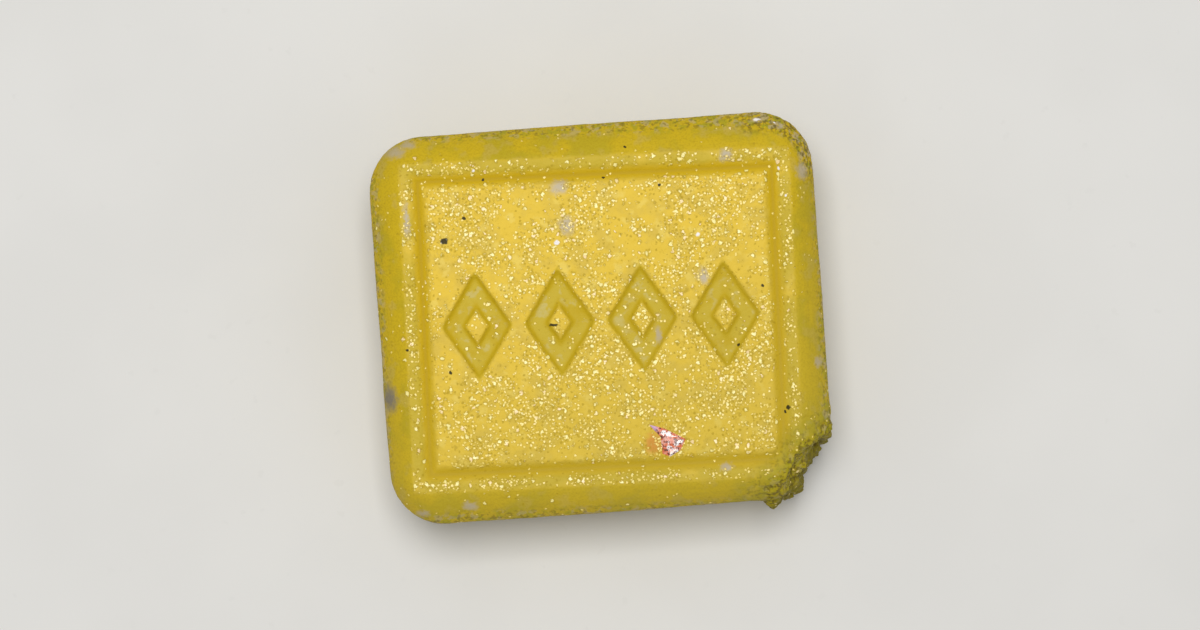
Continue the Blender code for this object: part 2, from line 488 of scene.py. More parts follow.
# %% Crumbs and lip
CRUMBS = (  # centre and radii
    ((3.86, -4.66, 2.90), (0.26, 0.36, 0.60)),
    ((4.98, -3.56, 2.45), (0.24, 0.20, 0.30)),
    ((4.60, -3.96, 3.42), (0.20, 0.15, 0.16)),
    ((4.64, -4.04, 1.60), (0.22, 0.20, 0.40)),
    ((4.42, -4.34, 2.95), (0.24, 0.20, 0.22)),
    ((4.46, -4.50, 1.50), (0.28, 0.22, 0.50)),
    ((4.16, -4.64, 2.10), (0.24, 0.22, 0.50)),
)


def add_crumb(centre, radii):
    """A rough blunt crumb, with one corner towards the lower side of the tablet."""
    bpy.ops.object.select_all(action="DESELECT")
    bpy.ops.mesh.primitive_ico_sphere_add(subdivisions=1, radius=1)
    crumb = bpy.context.object
    crumb.rotation_euler.x = math.radians(90)
    apply_place(crumb)
    crumb.scale = radii
    crumb.location = centre
    apply_place(crumb)
    finer = crumb.modifiers.new("finer", "SUBSURF")
    finer.subdivision_type = "SIMPLE"
    finer.levels = 4
    roughen(crumb, "crumb lumps", "CLOUDS", 0.25, 0.12)
    apply_modifiers(crumb)
    return crumb


crumbs = [add_crumb(centre, radii) for centre, radii in CRUMBS]
select_only(tablet)
for crumb in crumbs:
    crumb.select_set(True)
bpy.ops.object.join()
print(f"{len(crumbs)} crumbs joined")

# %% [markdown]
# One even skin over everything gives the relief the same fineness wherever it is, and softens
# the die's edges as pressed powder does. A voxel remesh makes it in one step. Two rounds of
# smoothing take the steps of the voxels out again.

# %% The skin
SKIN_DETAIL = 0.036

remesh(tablet, SKIN_DETAIL)
smoothing = tablet.modifiers.new("smoothing", "SMOOTH")
smoothing.factor = 0.5
smoothing.iterations = 2
apply_modifiers(tablet)
print(f"skin of {len(tablet.data.polygons)} faces")

# %% [markdown]
# The relief and the colours both differ from region to region: the flat face is grainy, where
# the die touched it last, and the groove, the strokes and the shoulder are smooth. Each region
# is a mask with a value for every point, worked out from where the point is. They are kept as
# attributes, which the materials read, and the later steps carry them along.

# %% Masks by place
def fade(values, low, high):
    """Rises smoothly from 0 at low to 1 at high, or falls where low is the larger."""
    share = np.clip((values - low) / (high - low), 0, 1)
    return share * share * (3 - 2 * share)


def band(values, start, full, full_until, end):
    """Rises from start to full, stays 1, and falls from full_until to end."""
    return fade(values, start, full) * fade(values, end, full_until)


def points_of(mesh):
    points = np.empty(len(mesh.vertices) * 3, np.float32)
    mesh.vertices.foreach_get("co", points)
    return points.reshape(-1, 3)


def stamp_places(points):
    """The points' places across the stamp, before its twist and offset."""
    turned = np.array(Matrix.Rotation(-STAMP_TWIST, 2))
    return (points[:, :2] - np.array(STAMP_OFFSET)) @ turned.T


def inside_rim(places):
    """How far each place is inside the rim's outer edge."""
    return (np.array(RIM_SIZE) / 2 - np.abs(places)).min(axis=1)


def inside_lozenge(places):
    """How far each place is inside the nearest lozenge's outline, square to its sides."""
    depths = []
    for index in range(LOZENGE_COUNT):
        across = np.abs(places - np.array(lozenge_centre(index))) / (np.array(LOZENGE_SIZE) / 2)
        depths.append((1 - across.sum(axis=1)) * lozenge_apothem)
    return np.max(depths, axis=0)


def near_break(points, reach):
    """1 on the broken face and what stands out of it, 0 at a distance of reach behind it."""
    tree = BVHTree.FromObject(break_cutter, bpy.context.evaluated_depsgraph_get())
    mask = np.zeros(len(points), np.float32)
    near = (points[:, 0] > BREAK_REGION.x) & (points[:, 1] < BREAK_REGION.y)
    for number in np.flatnonzero(near):
        point = Vector(points[number].tolist())
        nearest, normal, _, distance = tree.find_nearest(point)
        behind = (point - nearest).dot(normal) > 0
        mask[number] = max(0.0, 1 - distance / reach) if behind else 1.0
    return mask


GROOVE_BAND = (0.18, 0.38, 0.47, 0.67)  # in from the rim's outer edge
GROOVE_MIDDLE = (0.33, 0.42, 0.43, 0.52)
STROKE_BAND = (-0.02, 0.06, 0.49, 0.57)  # in from a lozenge's outline
STROKE_MIDDLE = (0.08, 0.18, 0.37, 0.47)
BREAK_REGION = Vector((2.4, -2.2))  # the break is to the right of this place and below it
BREAK_REACH = 0.80
BREAK_UPPER = (2.6, 3.3)  # heights between which the upper part of the break sets in
WORN_CORNER = Vector((4.85, 4.10))
WORN_RADIUS = 1.45

skin_points = points_of(tablet.data)
places = stamp_places(skin_points)
rim_depth = inside_rim(places)
lozenge_depth = inside_lozenge(places)
z = skin_points[:, 2]
top = fade(z, thickness - 0.5, thickness - 0.3)
in_groove = band(rim_depth, *GROOVE_BAND) * top
in_stroke = band(lozenge_depth, *STROKE_BAND) * top
from_break = near_break(skin_points, BREAK_REACH)
softer = fade(z, 2.9, 3.5)  # the break's upper edge is less sharp than its sides
broken = fade(from_break, 0.84 - 0.14 * softer, 0.95 - 0.05 * softer)
bruised = fade(from_break, 0.05, 0.80) * (0.3 + 0.7 * fade(z, *BREAK_UPPER))
flat = fade(rim_depth, -0.05, 0.05) * top
stamped = flat * (1 - in_groove) * (1 - in_stroke) * (1 - broken) * (1 - 0.6 * bruised)
from_worn = np.linalg.norm(skin_points[:, :2] - np.array(WORN_CORNER), axis=1)
worn = fade(from_worn, WORN_RADIUS, 0.6 * WORN_RADIUS) * fade(z, 2.6, 3.2) * fade(z, 4.1, 3.95)
raised = fade(z, 0.0, 0.25)  # nothing where the tablet lies on its back
edges = np.maximum(fade(z, 2.7, 3.5), 0.6 * fade(z, 0.9, 0.4) * raised)
masks = {
    "stamped": stamped,
    "groove": in_groove,
    "groove_middle": band(rim_depth, *GROOVE_MIDDLE) * top,
    "stroke": in_stroke,
    "stroke_middle": band(lozenge_depth, *STROKE_MIDDLE) * top,
    "rim": flat * fade(rim_depth, 0.34, 0.24),
    "outer_edge": fade(rim_depth, -0.42, -0.68) * edges,
    "back": fade(rim_depth, -0.05, 0.05) * fade(z, 0.15, 0.03),
    "side": fade(rim_depth, -0.60, -0.70) * raised * fade(z, thickness - 0.4, thickness - 0.7),
    "broken": broken,
    "bruised": bruised,
    # Where painted shade darkens the lower part of the break:
    "low_break_shade": broken * fade(z, 3.7, 2.9),
    "worn": worn,
}
for name, values in masks.items():
    attribute = tablet.data.attributes.new(name, "FLOAT", "POINT")
    attribute.data.foreach_set("value", values.astype(np.float32))
    print(f"{name}: {values.mean():.1%} of the skin")

# %% [markdown]
# The relief is a stack of modifiers, each kept to its region by a vertex group. The sharp upper
# edge of the break is worn round first. Then come displacements: a slow unevenness all over,
# close grain on the stamped face, a faint texture on the smooth parts, pits on the worn corner,
# and lumps, crumbs and grit on the break. Sculpting could do it too, but not the same way
# twice. Where the tablet lies on its back it stays flat.

# %% Relief
GROUP_LEVELS = 8  # steps of weight in a vertex group
EDGE_WEAR = 60  # rounds of smoothing on the upper edge of the break


def add_group(obj, name, values):
    """A vertex group with these weights, in steps, because one call sets one weight."""
    group = obj.vertex_groups.new(name=name)
    steps = np.round(values * GROUP_LEVELS).astype(int)
    for step in range(1, GROUP_LEVELS + 1):
        group.add(np.flatnonzero(steps == step).tolist(), step / GROUP_LEVELS, "REPLACE")


for name in ("stamped", "broken", "bruised", "worn"):
    add_group(tablet, name, masks[name])
add_group(tablet, "raised", raised)
add_group(tablet, "smooth", (1 - stamped) * (1 - broken) * raised)
add_group(tablet, "break_edge", fade(from_break, 0.55, 0.85) * fade(z, *BREAK_UPPER))
wear = tablet.modifiers.new("worn edges", "SMOOTH")
wear.factor = 0.5
wear.iterations = EDGE_WEAR
wear.vertex_group = "break_edge"
roughen(tablet, "slow unevenness", "CLOUDS", 1.7, 0.05, "raised")
roughen(tablet, "face grain", "CLOUDS", 0.11, 0.040, "stamped")
roughen(tablet, "face dimples", "VORONOI", 0.30, 0.030, "stamped")
roughen(tablet, "pressed skin", "CLOUDS", 0.16, 0.014, "smooth")
roughen(tablet, "worn pits", "VORONOI", 0.15, 0.05, "worn")
roughen(tablet, "bruises", "CLOUDS", 0.24, 0.08, "bruised")
roughen(tablet, "break lumps", "VORONOI", 0.34, -0.06, "broken")
roughen(tablet, "break crumbs", "CLOUDS", 0.15, 0.13, "broken")
roughen(tablet, "break grit", "VORONOI", 0.09, -0.035, "broken")
print("relief:", ", ".join(modifier.name for modifier in tablet.modifiers))
apply_modifiers(tablet)

# %% [markdown]
# The skin has more faces than it needs where it is nearly flat, and a piece stays under 200,000
# triangles. Decimate takes them out where they matter least. Then the tablet is made its real
# size, and Dirty Vertex Colors notes how deep in a hollow each point lies, for the colours.

# %% Thin the skin and make it life-size
MOST_TRIANGLES = 190_000


def count_triangles(mesh):
    return sum(len(polygon.vertices) - 2 for polygon in mesh.polygons)


before = count_triangles(tablet.data)
if before > MOST_TRIANGLES:
    thinning = tablet.modifiers.new("thinning", "DECIMATE")
    thinning.ratio = MOST_TRIANGLES / before
    apply_modifiers(tablet)
tablet.vertex_groups.clear()
tablet.scale = (MM, MM, MM)
apply_place(tablet)
tablet.location = (0, 0, 0)
bpy.ops.object.mode_set(mode="EDIT")
face_outwards()
bpy.ops.object.mode_set(mode="OBJECT")
bpy.ops.object.shade_smooth()
bpy.data.objects.remove(break_cutter)

# The hollows measured here are later used for painted shade on the break and the worn corner.
tablet.data.attributes.new("hollows", "FLOAT_COLOR", "POINT")
tablet.data.attributes.active_color = tablet.data.color_attributes["hollows"]
bpy.ops.object.mode_set(mode="VERTEX_PAINT")
bpy.ops.paint.vertex_color_dirt(blur_strength=1, blur_iterations=1)
bpy.ops.object.mode_set(mode="OBJECT")
print(f"{before} triangles thinned to {count_triangles(tablet.data)}")
depths = np.empty(len(tablet.data.vertices) * 4, np.float32)
tablet.data.attributes["hollows"].data.foreach_get("color", depths)
print("hollows from", depths[::4].min().round(2), "to", depths[::4].max().round(2))

# %% [markdown]
# A material is a tree of nodes. A few helpers keep the trees short to write: one adds a node and
# joins its inputs, one makes a soft step from a value, and one lays a colour over another by a
# mask. They work in a material and in a node group alike.

# %% Helpers that join nodes
MIX_SHARE, MIX_UNDER, MIX_OVER, MIX_RESULT = 0, 6, 7, 2  # a Mix node's sockets when it mixes colours


def add_node(tree, kind, inputs=None, **options):
    """Adds a node with these options. Each input is a value, or the socket that feeds it."""
    node = tree.nodes.new(kind)
    for name, option in options.items():
        setattr(node, name, option)
    for name, value in (inputs or {}).items():
        if isinstance(value, bpy.types.NodeSocket):
            tree.links.new(value, node.inputs[name])
        else:
            node.inputs[name].default_value = value
    return node


def calculate(tree, operation, first, second=0.0):
    """One step of arithmetic on two values."""
    return add_node(tree, "ShaderNodeMath", {0: first, 1: second}, operation=operation).outputs[0]


def vector_step(tree, operation, first, second):
    """One step of arithmetic on two points."""
    inputs = {0: first, 1: second}
    return add_node(tree, "ShaderNodeVectorMath", inputs, operation=operation).outputs[0]


def times(tree, *values):
    """All the values multiplied, for masks that hold together."""
    product = values[0]
    for value in values[1:]:
        product = calculate(tree, "MULTIPLY", product, value)
    return product


def soft_step(tree, value, low, high):
    """Rises smoothly from 0 at low to 1 at high, or falls where low is the larger."""
    inputs = {"Value": value, "From Min": low, "From Max": high}
    step = add_node(tree, "ShaderNodeMapRange", inputs, interpolation_type="SMOOTHSTEP")
    return step.outputs["Result"]


def lay_over(tree, under, over, share):
    """One colour over another, where the mask says so."""
    inputs = {MIX_SHARE: share, MIX_UNDER: under, MIX_OVER: over}
    return add_node(tree, "ShaderNodeMix", inputs, data_type="RGBA").outputs[MIX_RESULT]


def new_group(name, inputs, outputs):
    """An empty node group with these sockets, what it is given and what it puts out."""
    group = bpy.data.node_groups.new(name, "ShaderNodeTree")
    for socket_name, kind in inputs.items():
        group.interface.new_socket(socket_name, in_out="INPUT", socket_type=f"NodeSocket{kind}")
    for socket_name, kind in outputs.items():
        group.interface.new_socket(socket_name, in_out="OUTPUT", socket_type=f"NodeSocket{kind}")
    given = add_node(group, "NodeGroupInput").outputs
    result = add_node(group, "NodeGroupOutput").inputs
    return group, given, result


def use_group(tree, group, **inputs):
    """Places a group in a tree, with its own values, and returns what it puts out."""
    node = tree.nodes.new("ShaderNodeGroup")
    node.node_tree = group
    for name, value in inputs.items():
        if isinstance(value, bpy.types.NodeSocket):
            tree.links.new(value, node.inputs[name])
        else:
            node.inputs[name].default_value = value
    return node.outputs


# %% [markdown]
# Four effects come again and again, in the powder, the red crystal and the paper, so each is a
# node group. Drift is a cloudy mask for slow changes. Ragged shifts a point by a fine noise, so
# that what is drawn on it loses its even outline. Specks are scattered dots on a ragged point: a
# Voronoi cell carries one if its random number is below the amount, so that an amount that drifts
# makes clusters, and its seat is a slightly wider dot for the gap round it. A mark is one soft
# blot at a chosen place. All sizes are in millimetres.

# %% Node groups
def make_drift_group():
    group, given, result = new_group(
        "drift",
        {"Point": "Vector", "Size": "Float", "Low": "Float", "High": "Float"},
        {"Mask": "Float"},
    )
    fineness = calculate(group, "DIVIDE", 1.0, given["Size"])
    clouds = add_node(
        group, "ShaderNodeTexNoise", {"Vector": given["Point"], "Scale": fineness, "Detail": 3.0}
    )
    mask = soft_step(group, clouds.outputs["Fac"], given["Low"], given["High"])
    group.links.new(mask, result["Mask"])
    return group


def make_ragged_group():
    group, given, result = new_group(
        "ragged",
        {"Point": "Vector", "Size": "Float", "Reach": "Float"},
        {"Point": "Vector"},
    )
    fineness = calculate(group, "DIVIDE", 1.0, given["Size"])
    noise = add_node(
        group, "ShaderNodeTexNoise", {"Vector": given["Point"], "Scale": fineness, "Detail": 2.0}
    )
    shift = vector_step(group, "SUBTRACT", noise.outputs["Color"], (0.5, 0.5, 0.5))
    shift = add_node(
        group, "ShaderNodeVectorMath", {0: shift, "Scale": given["Reach"]}, operation="SCALE"
    ).outputs[0]
    group.links.new(vector_step(group, "ADD", given["Point"], shift), result["Point"])
    return group


def make_specks_group(ragged_group):
    group, given, result = new_group(
        "specks",
        {"Point": "Vector", "Spacing": "Float", "Size": "Float", "Amount": "Float"},
        {"Mask": "Float", "Seat": "Float", "Chance": "Float"},
    )
    fineness = calculate(group, "DIVIDE", 1.0, given["Spacing"])
    ragged = use_group(
        group,
        ragged_group,
        Point=given["Point"],
        Size=calculate(group, "MULTIPLY", given["Spacing"], 0.45),
        Reach=calculate(group, "MULTIPLY", given["Spacing"], 0.8),
    )["Point"]
    cells = add_node(group, "ShaderNodeTexVoronoi", {"Vector": ragged, "Scale": fineness})
    chances = add_node(group, "ShaderNodeSeparateColor", {"Color": cells.outputs["Color"]})
    carries = calculate(group, "LESS_THAN", chances.outputs["Red"], given["Amount"])
    distance = calculate(group, "DIVIDE", cells.outputs["Distance"], given["Size"])
    near = soft_step(group, distance, 1.0, 0.6)
    around = soft_step(group, distance, 1.7, 1.0)
    group.links.new(times(group, near, carries), result["Mask"])
    group.links.new(times(group, around, carries), result["Seat"])
    group.links.new(chances.outputs["Green"], result["Chance"])
    return group


def make_mark_group():
    group, given, result = new_group(
        "mark",
        {"Point": "Vector", "Centre": "Vector", "Reach": "Vector", "Core": "Float"},
        {"Mask": "Float"},
    )
    away = vector_step(group, "SUBTRACT", given["Point"], given["Centre"])
    shares = vector_step(group, "DIVIDE", away, given["Reach"])
    length = add_node(group, "ShaderNodeVectorMath", {0: shares}, operation="LENGTH")
    mask = soft_step(group, length.outputs["Value"], 1.0, given["Core"])
    group.links.new(mask, result["Mask"])
    return group


drift_group = make_drift_group()
ragged_group = make_ragged_group()
specks_group = make_specks_group(ragged_group)
mark_group = make_mark_group()
print("node groups:", sorted(group.name for group in bpy.data.node_groups))

# %% [markdown]
# The floor is plain paper. One flat colour would look like plastic, so it drifts a little and
# carries a few faint fibres' ends as specks.

# %% Paper for the floor
PAPER = (0.74, 0.73, 0.70, 1)
PAPER_DULL = (0.72, 0.71, 0.68, 1)

paper = bpy.data.materials.new("pale_paper")
paper.use_nodes = True
tree = paper.node_tree
shader = tree.nodes["Principled BSDF"]
shader.inputs["Roughness"].default_value = 0.9


def point_in_mm(tree):
    """The shaded point's place on its object, in millimetres."""
    place = add_node(tree, "ShaderNodeTexCoord").outputs["Object"]
    inputs = {0: place, "Scale": 1 / MM}
    return add_node(tree, "ShaderNodeVectorMath", inputs, operation="SCALE").outputs[0]


point = point_in_mm(tree)
dull = use_group(tree, drift_group, Point=point, Size=6.0, Low=0.35, High=0.65)["Mask"]
colour = lay_over(tree, PAPER, PAPER_DULL, dull)
fibres = use_group(tree, specks_group, Point=point, Spacing=0.5, Size=0.2, Amount=0.3)["Mask"]
colour = lay_over(tree, colour, PAPER_DULL, fibres)
tree.links.new(colour, shader.inputs["Base Color"])
floor.data.materials.append(paper)
print(f"{len(tree.nodes)} nodes in {paper.name}")

# %% [markdown]
# The powder is yellow all through, but what the die did to it changes how it looks. The smooth
# slopes are a deep yellow that drifts between olive, tan and orange, and the groove is the most
# orange part. The flat face is lighter. The masks that the skin carries say which is where.
# Towards the lower edge everything is a little darker, which is painted shade for the light falling off
# there. A drift is given by its size and the two levels between which it sets in, and a colour's share
# by its mask.

# %% Powder: the ground colours
DIE_YELLOW = (0.58, 0.405, 0.008, 1)
OLIVE = (0.48, 0.36, 0.010, 1)
TAN = (0.55, 0.40, 0.085, 1)
GROOVE_YELLOW = (0.59, 0.395, 0.003, 1)
# The next colour is painted shade for the bottom of the groove.
GROOVE_SHADE = (0.49, 0.32, 0.002, 1)
FACE_YELLOW = (0.79, 0.545, 0.052, 1)
FACE_DULL = (0.65, 0.465, 0.068, 1)
FACE_PALE = (0.84, 0.64, 0.130, 1)
RIM_YELLOW = (0.585, 0.43, 0.035, 1)
STROKE_YELLOW = (0.53, 0.365, 0.005, 1)
STROKE_FLOOR = (0.57, 0.42, 0.030, 1)
STROKE_PALE = (0.58, 0.47, 0.130, 1)
# Painted shade for the light that falls off towards the lower edge, and the direction in which it
# grows:
FALLOFF_SHADE = (0.45, 0.345, 0.035, 1)
FALLOFF_WAY = (0.35, -1.0, 0.0)  # towards the duller side
GRAIN_DARK = (0.40, 0.27, 0.006, 1)

powder = bpy.data.materials.new("yellow_powder")
powder.use_nodes = True
tree = powder.node_tree
shader = tree.nodes["Principled BSDF"]
point = point_in_mm(tree)
on = {name: add_node(tree, "ShaderNodeAttribute", attribute_name=name).outputs["Fac"] for name in masks}


def drift(size, low, high):
    """A cloudy mask over the material that is being made."""
    return use_group(tree, drift_group, Point=point, Size=size, Low=low, High=high)["Mask"]


def specks(spacing, size, amount):
    """Scattered dots over it: their mask, seats and chances."""
    return use_group(tree, specks_group, Point=point, Spacing=spacing, Size=size, Amount=amount)


colour = lay_over(tree, DIE_YELLOW, OLIVE, drift(0.9, 0.46, 0.62))
colour = lay_over(tree, colour, TAN, times(tree, drift(0.45, 0.54, 0.66), 0.45))
colour = lay_over(tree, colour, GRAIN_DARK, times(tree, drift(0.05, 0.45, 0.65), 0.35))
face = lay_over(tree, FACE_YELLOW, FACE_DULL, times(tree, drift(0.6, 0.45, 0.65), 0.7))
face = lay_over(tree, face, FACE_PALE, times(tree, drift(0.35, 0.54, 0.68), 0.6))
face = lay_over(tree, face, RIM_YELLOW, times(tree, on["rim"], drift(0.9, 0.25, 0.50)))
colour = lay_over(tree, colour, GROOVE_YELLOW, on["groove"])
# Painted shade along the middle of the groove, its deepest part.
colour = lay_over(tree, colour, GROOVE_SHADE, on["groove_middle"])
colour = lay_over(tree, colour, STROKE_YELLOW, on["stroke"])
floor_share = times(tree, on["stroke_middle"], drift(0.5, 0.30, 0.55))
stroke_floor = lay_over(tree, STROKE_FLOOR, STROKE_PALE, drift(0.22, 0.52, 0.66))
colour = lay_over(tree, colour, stroke_floor, floor_share)
pressed = calculate(tree, "MAXIMUM", on["stamped"], on["back"])
colour = lay_over(tree, colour, face, pressed)
# Painted shade: every colour darkens a little towards the lower edge, where the light falls off.
along = add_node(tree, "ShaderNodeVectorMath", {0: point, 1: FALLOFF_WAY}, operation="DOT_PRODUCT")
falloff_side = soft_step(tree, along.outputs["Value"], -2.5, 4.5)
colour = lay_over(tree, colour, FALLOFF_SHADE, times(tree, falloff_side, 0.35))
print(f"{len(tree.nodes)} nodes after the ground colours")

# %% [markdown]
# The side slid up the die as the tablet was pushed out, which left fine upright marks. They are a
# noise on a point whose height counts for little, so that the noise is drawn out along Z.

# %% Powder: press marks on the side
PRESS_MARK = (0.36, 0.27, 0.012, 1)
PRESS_MARK_WIDTH = 0.09
PRESS_MARK_DRAW = 0.05  # share of its height that a point keeps

drawn_out = vector_step(tree, "MULTIPLY", point, (1, 1, PRESS_MARK_DRAW))
press_marks = use_group(
    tree, drift_group, Point=drawn_out, Size=PRESS_MARK_WIDTH, Low=0.50, High=0.68
)["Mask"]
press_marks = times(tree, press_marks, on["side"])
colour = lay_over(tree, colour, PRESS_MARK, times(tree, press_marks, 0.6))
print(f"{len(tree.nodes)} nodes with the press marks")

# %% [markdown]
# Along the outer edge, on the worn corner and on the break the powder is a mottle of pale lilac,
# green and brown. It is laid on in drifts of different sizes, each kept to those regions. The
# break is bare powder, duller than what the die has rubbed, and its darker tone is partly painted
# shade. More painted shade darkens it low down, and darkens the hollows of the break and the worn
# corner, which were measured on the finished mesh. The powder behind it is bruised.

# %% Powder: rubbed and broken places
GREEN = (0.33, 0.31, 0.010, 1)
BROWN = (0.15, 0.105, 0.012, 1)
LILAC = (0.46, 0.385, 0.25, 1)
# The break's duller colour is partly painted shade, and the colour after it is painted shade for its
# lower part.
BREAK_POWDER_AND_SHADE = (0.38, 0.30, 0.008, 1)
BREAK_LOW_SHADE = (0.15, 0.125, 0.006, 1)
BRUISE = (0.37, 0.30, 0.018, 1)

colour = lay_over(tree, colour, BRUISE, times(tree, on["bruised"], drift(0.40, 0.25, 0.55), 0.9))
# The break's duller colour, which is partly painted shade.
colour = lay_over(tree, colour, BREAK_POWDER_AND_SHADE, times(tree, on["broken"], 0.9))
rubbed = calculate(tree, "MAXIMUM", on["worn"], times(tree, on["outer_edge"], 0.7))
rough = calculate(tree, "MAXIMUM", on["broken"], times(tree, on["bruised"], 0.5))
mottled = calculate(tree, "MAXIMUM", rubbed, times(tree, rough, 0.5))
colour = lay_over(tree, colour, GREEN, times(tree, drift(0.17, 0.49, 0.59), mottled, 0.85))
pale = calculate(tree, "MAXIMUM", times(tree, rubbed, 0.85), times(tree, rough, 0.3))
colour = lay_over(tree, colour, LILAC, times(tree, drift(0.22, 0.53, 0.60), pale, 0.70))
brown_share = calculate(tree, "MAXIMUM", rubbed, rough)
colour = lay_over(tree, colour, BROWN, times(tree, drift(0.10, 0.53, 0.62), brown_share, 0.75))
# Painted shade low down on the break.
colour = lay_over(tree, colour, BREAK_LOW_SHADE, times(tree, on["low_break_shade"], 0.60))
# Painted shade in the hollows of the break and the worn corner.
hollows = add_node(tree, "ShaderNodeAttribute", attribute_name="hollows").outputs["Fac"]
hollow_shade = calculate(tree, "MAXIMUM", on["broken"], times(tree, on["worn"], 0.8))
hollow_shade = times(tree, soft_step(tree, hollows, 0.12, 0.04), hollow_shade, 0.85)
colour = lay_over(tree, colour, BROWN, hollow_shade)
print(f"{len(tree.nodes)} nodes with the rubbed and broken places")

# %% [markdown]
# Some marks are there only once: pale blots, one dark blot, a red stain, dark specks and white
# grains. Each is placed where the photograph shows it, on the point of the face that lies under
# that pixel. The blots lie under the crystals, and the specks and grains on top of them.

# %% Powder: single marks
DARK_SPECKS = (  # pixel in the photograph, and half of the width and height in millimetres
    ((445, 242), (0.105, 0.100)),
    ((465, 219), (0.060, 0.050)),
    ((554, 325), (0.120, 0.045)),
    ((787, 407), (0.055, 0.060)),
    ((784, 411), (0.045, 0.045)),
    ((737, 345), (0.050, 0.050)),
    ((761, 286), (0.045, 0.045)),
    ((452, 372), (0.045, 0.070)),
    ((659, 186), (0.040, 0.040)),
    ((625, 148), (0.040, 0.040)),
    ((484, 181), (0.050, 0.040)),
    ((603, 179), (0.040, 0.040)),
    ((409, 350), (0.040, 0.040)),
)
WHITE_GRAINS = (
    ((557, 243), (0.085, 0.085)),
    ((697, 235), (0.060, 0.055)),
    ((474, 172), (0.050, 0.050)),
    ((756, 120), (0.130, 0.060)),
    ((777, 169), (0.045, 0.055)),
    ((784, 196), (0.045, 0.045)),
    ((774, 124), (0.040, 0.040)),
)
PALE_BLOTS = (
    ((559, 188), (0.30, 0.26)),
    ((567, 226), (0.26, 0.34)),
    ((395, 153), (0.40, 0.24)),
    ((408, 146), (0.30, 0.16)),
    ((725, 156), (0.26, 0.22)),
    ((756, 120), (0.26, 0.12)),
    ((780, 127), (0.16, 0.12)),
    ((801, 172), (0.20, 0.30)),
    ((658, 334), (0.14, 0.30)),
    ((703, 276), (0.20, 0.30)),
    ((471, 505), (0.26, 0.18)),
    ((423, 513), (0.26, 0.16)),
    ((726, 466), (0.24, 0.16)),
    ((818, 362), (0.14, 0.22)),
    ((408, 222), (0.10, 0.60)),
)
DARK_BLOT, DARK_BLOT_SIZE = (390, 398), (0.30, 0.50)
RED_STAIN, RED_STAIN_SIZE = (654, 443), (0.34, 0.36)
SPECK = (0.022, 0.020, 0.008, 1)
WHITE = (0.92, 0.88, 0.86, 1)
STAINED = (0.62, 0.25, 0.04, 1)
FACE_LILAC = (0.53, 0.465, 0.36, 1)
GREY_LILAC = (0.18, 0.165, 0.145, 1)
BLOT_RAGGED = 0.22  # millimetres, how far a fine noise shifts the outline of a mark
SPECK_RAGGED = 0.10
MARK_DEPTH = 1.2  # how far below the face a mark still colours the powder

blot_point = use_group(tree, ragged_group, Point=point, Size=0.11, Reach=BLOT_RAGGED)["Point"]
speck_point = use_group(tree, ragged_group, Point=point, Size=0.11, Reach=SPECK_RAGGED)["Point"]


def mark(ragged_point, pixel, half_size, core):
    """The mask of one mark, placed by its pixel in the photograph."""
    centre = (*from_photo(*pixel), thickness)
    reach = (*half_size, MARK_DEPTH)
    return use_group(
        tree, mark_group, Point=ragged_point, Centre=centre, Reach=reach, Core=core
    )["Mask"]


blots = 0.0
for pixel, half_size in PALE_BLOTS:
    blots = calculate(tree, "MAXIMUM", mark(blot_point, pixel, half_size, 0.2), blots)
blot_colour = lay_over(tree, LILAC, FACE_LILAC, pressed)
colour = lay_over(tree, colour, blot_colour, times(tree, blots, 0.88))
dark_blot = mark(blot_point, DARK_BLOT, DARK_BLOT_SIZE, 0.3)
colour = lay_over(tree, colour, GREY_LILAC, times(tree, dark_blot, 0.90))
stain = mark(blot_point, RED_STAIN, RED_STAIN_SIZE, 0.3)
colour = lay_over(tree, colour, STAINED, times(tree, stain, 0.85))
print(f"{len(PALE_BLOTS)} pale blots, one dark blot and one red stain")

# %% [markdown]
# The flat face glitters with pale crystals of less than a tenth of a millimetre, whose pale colour is
# partly their own and partly a painted glint. They sit in clusters, each in a darker seat of painted
# shade, and there are only a few on the slopes. One layer of specks
# would be too even, so there are three: fine dark gaps of painted shade, many small yellow crystals,
# and fewer large pale ones.

# %% Powder: crystals and gaps
# Pale crystal colours, partly the crystals' own and partly painted glints:
SMALL_CRYSTAL_GLINT = (0.98, 0.76, 0.18, 1)
CREAM = (0.98, 0.86, 0.33, 1)
ROSE = (0.96, 0.72, 0.36, 1)
# Painted shade for the gaps between grains and the seats round crystals:
GAP_SHADE = (0.40, 0.27, 0.006, 1)

clusters = drift(0.75, 0.42, 0.58)
crowding = calculate(tree, "ADD", times(tree, clusters, 0.70), 0.18)
crowding = calculate(tree, "ADD", crowding, times(tree, falloff_side, 0.12))
flat_share = calculate(tree, "MAXIMUM", pressed, times(tree, on["stroke_middle"], 0.2))
crowding = times(tree, crowding, calculate(tree, "ADD", flat_share, 0.05))
# Painted shade in the fine gaps between the grains.
gap_shade = specks(0.085, 0.46, times(tree, crowding, 0.7))
colour = lay_over(tree, colour, GAP_SHADE, times(tree, gap_shade["Mask"], 0.60))
small_crystals = specks(0.080, 0.46, crowding)
large_crystals = specks(0.150, 0.36, times(tree, crowding, 0.55))
# Painted shade in the seat round each crystal.
seat_shade = calculate(tree, "MAXIMUM", times(tree, small_crystals["Seat"], 0.4), large_crystals["Seat"])
colour = lay_over(tree, colour, GAP_SHADE, times(tree, seat_shade, 0.55))
